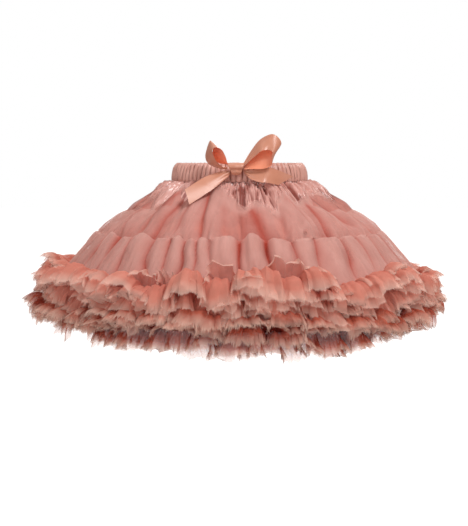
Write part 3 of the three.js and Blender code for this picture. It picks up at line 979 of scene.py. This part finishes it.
def makeStrip(strip, material, sections, station, seat, node, restsOn):
    width = stripWidth(strip)
    strip["flaps"] = {
        "above": makeFlaps(strip["seed"], strip["average"], strip.get("byHand", ())),
        "below": makeFlaps(strip["seed"] + 20, strip["average"] * 0.9),
    }

    def edgeAt(angle, share):
        return (1 - abs(2 * share - 1)) * width / 2

    def placeAt(angle, share):
        return stripPoint(strip, sections, station, seat, angle, share)

    def paintedShadeAt(angle, share):
        return stripPaintedShade(strip, angle, share)

    cut = (stripMesh["cut"], width)
    piece = wrapCloth(strip["name"], material, stripMesh, cut, placeAt, edgeAt, paintedShadeAt)
    flat = (round(meshArea(piece) / width, 1), round(width, 3))
    dress(piece, node, flat, restsOn)
    return piece


hemPieces = [
    makeStrip(strip, ruffleTulle, outerSections, hemStitch, hemSeat, "hem_ruffle", "lower_tier")
    for strip in hemStrips
]
underPieces = [
    makeStrip(strip, underRuffleShadedTulle, innerSections, innerStitch, underSeat, "under_ruffle", "under_skirt")
    for strip in underStrips
]


# Frayed threads along the ruffles' cut edges

fray = {"seed": 5, "radius": 0.00011, "lean": 0.6}


def makeThreads(name, pieces, material, chance, shortest, longest):
    dice = random.Random(fray["seed"])
    threads = bmesh.new()
    for piece in pieces:
        cloth = bmesh.new()
        cloth.from_mesh(piece.data)
        for vert in cloth.verts:
            if not vert.is_boundary or dice.random() > chance:
                continue
            inner = [edge.other_vert(vert) for edge in vert.link_edges if not edge.is_boundary]
            if not inner:
                continue
            away = (vert.co - inner[0].co).normalized()
            lean = Vector([dice.uniform(-1, 1) for _ in range(3)]) * fray["lean"]
            away = (away + lean).normalized()
            length = mix(shortest, longest, dice.random() ** 2)
            middle = vert.co + away * (0.5 * length - 0.001)
            turn = away.to_track_quat("Z", "Y").to_matrix().to_4x4()
            bmesh.ops.create_cone(
                threads, cap_ends=False, segments=3,
                radius1=fray["radius"], radius2=fray["radius"] * 0.3, depth=length,
                matrix=Matrix.Translation(middle) @ turn,
            )
        cloth.free()
    threads.loops.layers.uv.new("cloth")
    piece = finishPiece(name, threads, material)
    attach(piece, "root")


threadFinish, threadTree, threadShader = newMaterial("frayedThread", Roughness=0.8, Sheen_Weight=0.3)
threadSpots = addNode(threadTree, "ShaderNodeTexCoord")
threadNoise = addNode(threadTree, "ShaderNodeTexNoise", Vector=threadSpots.outputs["Object"], Scale=90.0)
threadColour = colourBetween(
    threadTree, threadNoise.outputs["Fac"], linear(206, 142, 124), linear(244, 212, 196)
)
feed(threadTree, threadShader.inputs["Base Color"], threadColour)
makeThreads("hemThreads", hemPieces, threadFinish, chance=0.04, shortest=0.001, longest=0.003)
makeThreads("underThreads", underPieces, threadFinish, chance=0.18, shortest=0.002, longest=0.006)
print("threads made")


# Bow: pieces of satin ribbon; each row is a place on the middle line and the half width there, as x, y
# and z in mm

rightLoopRows = [
    (5.6, -82, 10.4, -0.6, 2.4, 1.8), (16.6, -85, 24, -2.6, 6.5, 3.2), (26.5, -88, 34.6, -1, 8, 7.2),
    (38.4, -90, 38.6, 2.2, 3.6, 10), (45.6, -91, 34, 4.8, 5, 8.4), (45.8, -90, 26.4, 6, 6, 8),
    (40.4, -87, 20.8, 0.4, 5, 11.4), (28, -85, 16.8, -1.6, 4.6, 11.8), (17, -84, 12.6, -1.4, 4.4, 8),
    (5.6, -82.4, 5.6, 0, 2.4, 1.3),
]
leftLoopRows = [
    (-16, -83, 6.2, 0, 2.4, -0.6), (-24, -86, 6.5, -2.4, 5.5, -1.2), (-34.3, -88.5, 12.3, -5.4, 8.6, -1.4),
    (-38.4, -89.5, 20, -5.6, 9, -0.4), (-38.2, -90, 29.5, -3.6, 9.8, 2),
    (-34.2, -89.5, 36.3, -3.4, 8.6, 4.4), (-28.6, -88, 31, -5.6, 8.8, 2.2),
    (-26.6, -86, 21, -8.4, 7.4, 0.6), (-23, -83.5, 13.4, -6.6, 4.6, -0.4), (-16, -82.4, 10.8, -0.6, 2.4, 0),
]
leftTailRows = [
    (-13.3, -82, 0, 1.3, -0.5, -2.2), (-23, -87, -4.4, 2, -3.5, -5.6), (-39, -95, -13, 3.4, -5, -8.6),
    (-53.5, -103, -21.8, 3.5, -5, -9), (-66, -110.5, -30, 2.9, -4.6, -9.4),
]
rightTailRows = [
    (5.4, -82.4, 0.9, -0.6, 0.4, 2), (13, -85, -2.6, -1, 2.4, 5.6), (25.6, -88, -4, -1.4, 5, 8.2),
    (37.5, -88, -3.4, 4, 3, 9), (58.6, -82, -10.4, 9.2, 1.5, 5.4),
]
# half is the ribbon's half width in mm, step the length of a mesh row, and drawnIn how much longer a
# piece is cut than it shows, for what is drawn into the knot
ribbon = {
    "width": 0.022, "half": 11, "thickness": 0.0004, "drawnIn": 1.2,
    "across": 10, "stepsPerRow": 8, "step": 0.0014,
}


def makeRibbon(name, rows, node, cup):
    # a flat strip bent along its rows; cup is how far its middle lies behind its edges, in mm
    last = len(rows) - 1
    steps = last * ribbon["stepsPerRow"]
    mesh = bmesh.new()
    cloth = mesh.loops.layers.uv.new("cloth")
    bmesh.ops.create_grid(mesh, x_segments=ribbon["across"], y_segments=steps, size=0.5)

    def rowAt(along):
        return [smoothValue([row[axis] for row in rows], along * last) for axis in range(6)]

    places = {}
    for vert in mesh.verts:
        along = clamp(vert.co.y + 0.5)
        across = 2 * vert.co.x
        row = rowAt(along)
        ahead = rowAt(clamp(along + 0.01))
        behind = rowAt(clamp(along - 0.01))
        tangent = Vector([a - b for a, b in zip(ahead[:3], behind)])
        half = Vector(row[3:])
        normal = tangent.cross(half).normalized()
        pleat = (1 - half.length / ribbon["half"]) * 1.5 * math.cos(across * 5)
        bend = cup * (1 - across * across) + pleat
        places[vert] = (Vector(row[:3]) + half * across + normal * bend) * mm, across, along
    for face in mesh.faces:
        for loop in face.loops:
            _, across, along = places[loop.vert]
            loop[cloth].uv = (along * steps * ribbon["step"], across * ribbon["width"] / 2)
    for vert, (place, _, _) in places.items():
        vert.co = place
    bmesh.ops.reverse_faces(mesh, faces=mesh.faces)
    piece = finishPiece(name, mesh, ribbonSatin)
    length = round(meshArea(piece) / ribbon["width"] * ribbon["drawnIn"], 3)
    dress(piece, node, (ribbon["width"], length), "bow_knot")


makeRibbon("bowLoopRight", rightLoopRows, "bow_loop_right", 0.6)
makeRibbon("bowLoopLeft", leftLoopRows, "bow_loop_left", 0.6)
makeRibbon("bowTailLeft", leftTailRows, "bow_tail_left", 0.8)
makeRibbon("bowTailRight", rightTailRows, "bow_tail_right", -0.8)


# Knot: the ribbon wrapped round the bow's middle, wide above and drawn in below

knot = {
    "columns": 24, "rows": 48,
    "top": (-5.2, 12.9), "bottom": (-4.6, -3.4), "middle": -82.2,
    "halfTop": 10.6, "halfBottom": 6, "depth": 5.4,
}


def knotPoint(turn, share):
    # turn runs round the wrap, from the back over the top to the front; share runs across the ribbon
    height = math.cos(turn)
    level = 0.5 + 0.5 * height
    half = mix(knot["halfBottom"], knot["halfTop"], smoothStep(0, 1, level))
    across = 2 * share - 1
    z = mix(knot["bottom"][1], knot["top"][1], level)
    x = mix(knot["bottom"][0], knot["top"][0], level) + across * half
    pleats = 0.45 * math.cos(across * 6.5 + 1.5 * height) * (1 - 0.6 * level)
    full = math.sqrt(max(0.0, 1 - 0.55 * across * across))
    front = max(0.0, math.sin(turn))
    roll = 1.5 * math.sin(math.pi * clamp((level - 0.45) / 0.5)) * front
    groove = 1.1 * math.exp(-(((level - 0.42) / 0.1) ** 2)) * front
    y = knot["middle"] - knot["depth"] * math.sin(turn) * full - pleats * math.sin(turn) - roll + groove
    z -= (1 - full) * 3.0 * height
    return Vector((x, y, z)) * mm


def makeKnot():
    mesh = bmesh.new()
    cloth = mesh.loops.layers.uv.new("cloth")
    bmesh.ops.create_grid(mesh, x_segments=knot["columns"], y_segments=knot["rows"], size=0.5)
    for face in mesh.faces:
        for loop in face.loops:
            loop[cloth].uv = ((loop.vert.co.y + 0.5) * 0.044, (loop.vert.co.x + 0.5) * 0.02)
    for vert in mesh.verts:
        vert.co = knotPoint(fullTurn * (0.5 - vert.co.y), vert.co.x + 0.5)
    bmesh.ops.remove_doubles(mesh, verts=mesh.verts, dist=1e-6)
    bmesh.ops.recalc_face_normals(mesh, faces=mesh.faces)
    piece = finishPiece("bowKnot", mesh, ribbonSatin)
    wall = piece.modifiers.new("wall", "SOLIDIFY")
    wall.thickness = ribbon["thickness"]
    dress(piece, "bow_knot", (ribbon["width"], 0.03), "waistband")


makeKnot()
print("bow made")


# Stage: a wide pale floor, soft light and the camera

stage = {"floor": -0.62, "half": 6.0}


def makeStage():
    material, tree, shader = newMaterial(
        "paleFloor", Base_Color=(0.6, 0.6, 0.6, 1), Roughness=0.9, Emission_Color=(1, 1, 1, 1)
    )
    mesh = bmesh.new()
    bmesh.ops.create_grid(mesh, x_segments=2, y_segments=2, size=stage["half"] * 2)
    for vert in mesh.verts:
        vert.co.z = stage["floor"]
    piece = finishPiece("paleFloor", mesh, material)
    seen = addNode(tree, "ShaderNodeLightPath").outputs["Is Camera Ray"]
    feed(tree, shader.inputs["Emission Strength"], seen)


makeStage()


def aimed(name, data, place, aim):
    thing = addObject(name, data)
    thing.location = place
    thing.rotation_euler = (Vector(aim) - Vector(place)).to_track_quat("-Z", "Y").to_euler()
    return thing


def areaLight(name, place, aim, size, power):
    light = bpy.data.lights.new(name, "AREA")
    light.shape = "RECTANGLE"
    light.size, light.size_y = size
    light.energy = power
    aimed(name, light, place, aim)


areaLight("keyLight", (0.8, -1.0, 1.45), (0, 0, -0.1), (0.6, 0.6), 23)
areaLight("topLight", (-0.3, 0.2, 1.6), (0, 0, 0), (1.2, 1.0), 5)
areaLight("fillLight", (-1.2, -1.6, 0.5), (0, 0, -0.1), (1.2, 1.2), 8)
areaLight("lowLight", (0.1, -1.4, -0.5), (0, 0, -0.2), (1.6, 0.6), 4)
areaLight("backLight", (0.6, 1.8, 0.9), (0, 0, -0.1), (1.4, 1.0), 16)

world = bpy.data.worlds.new("studio")
world.use_nodes = True
bpy.context.scene.world = world
worldTree = world.node_tree
sky = worldTree.nodes["Background"]
seen = addNode(worldTree, "ShaderNodeLightPath").outputs["Is Camera Ray"]
feed(worldTree, sky.inputs["Color"], colourBetween(worldTree, seen, (1.0, 0.76, 0.69, 1), (1, 1, 1, 1)))
feed(worldTree, sky.inputs["Strength"], rangeNode(worldTree, seen, 0.0, 1.0, 0.35))

eye = bpy.data.cameras.new("camera")
eye.sensor_width = camera["sensor"]
eye.lens = camera["focusPixels"] / camera["frameLong"] * camera["sensor"]
eye.clip_end = 20
eyePlace = (camera["centreX"], -camera["distance"], camera["height"])
bpy.context.scene.camera = aimed("camera", eye, eyePlace, (camera["centreX"], 0, camera["centreZ"]))
bpy.context.scene.view_settings.view_transform = "Standard"
bpy.context.scene.cycles.transparent_max_bounces = 32
print("stage set")
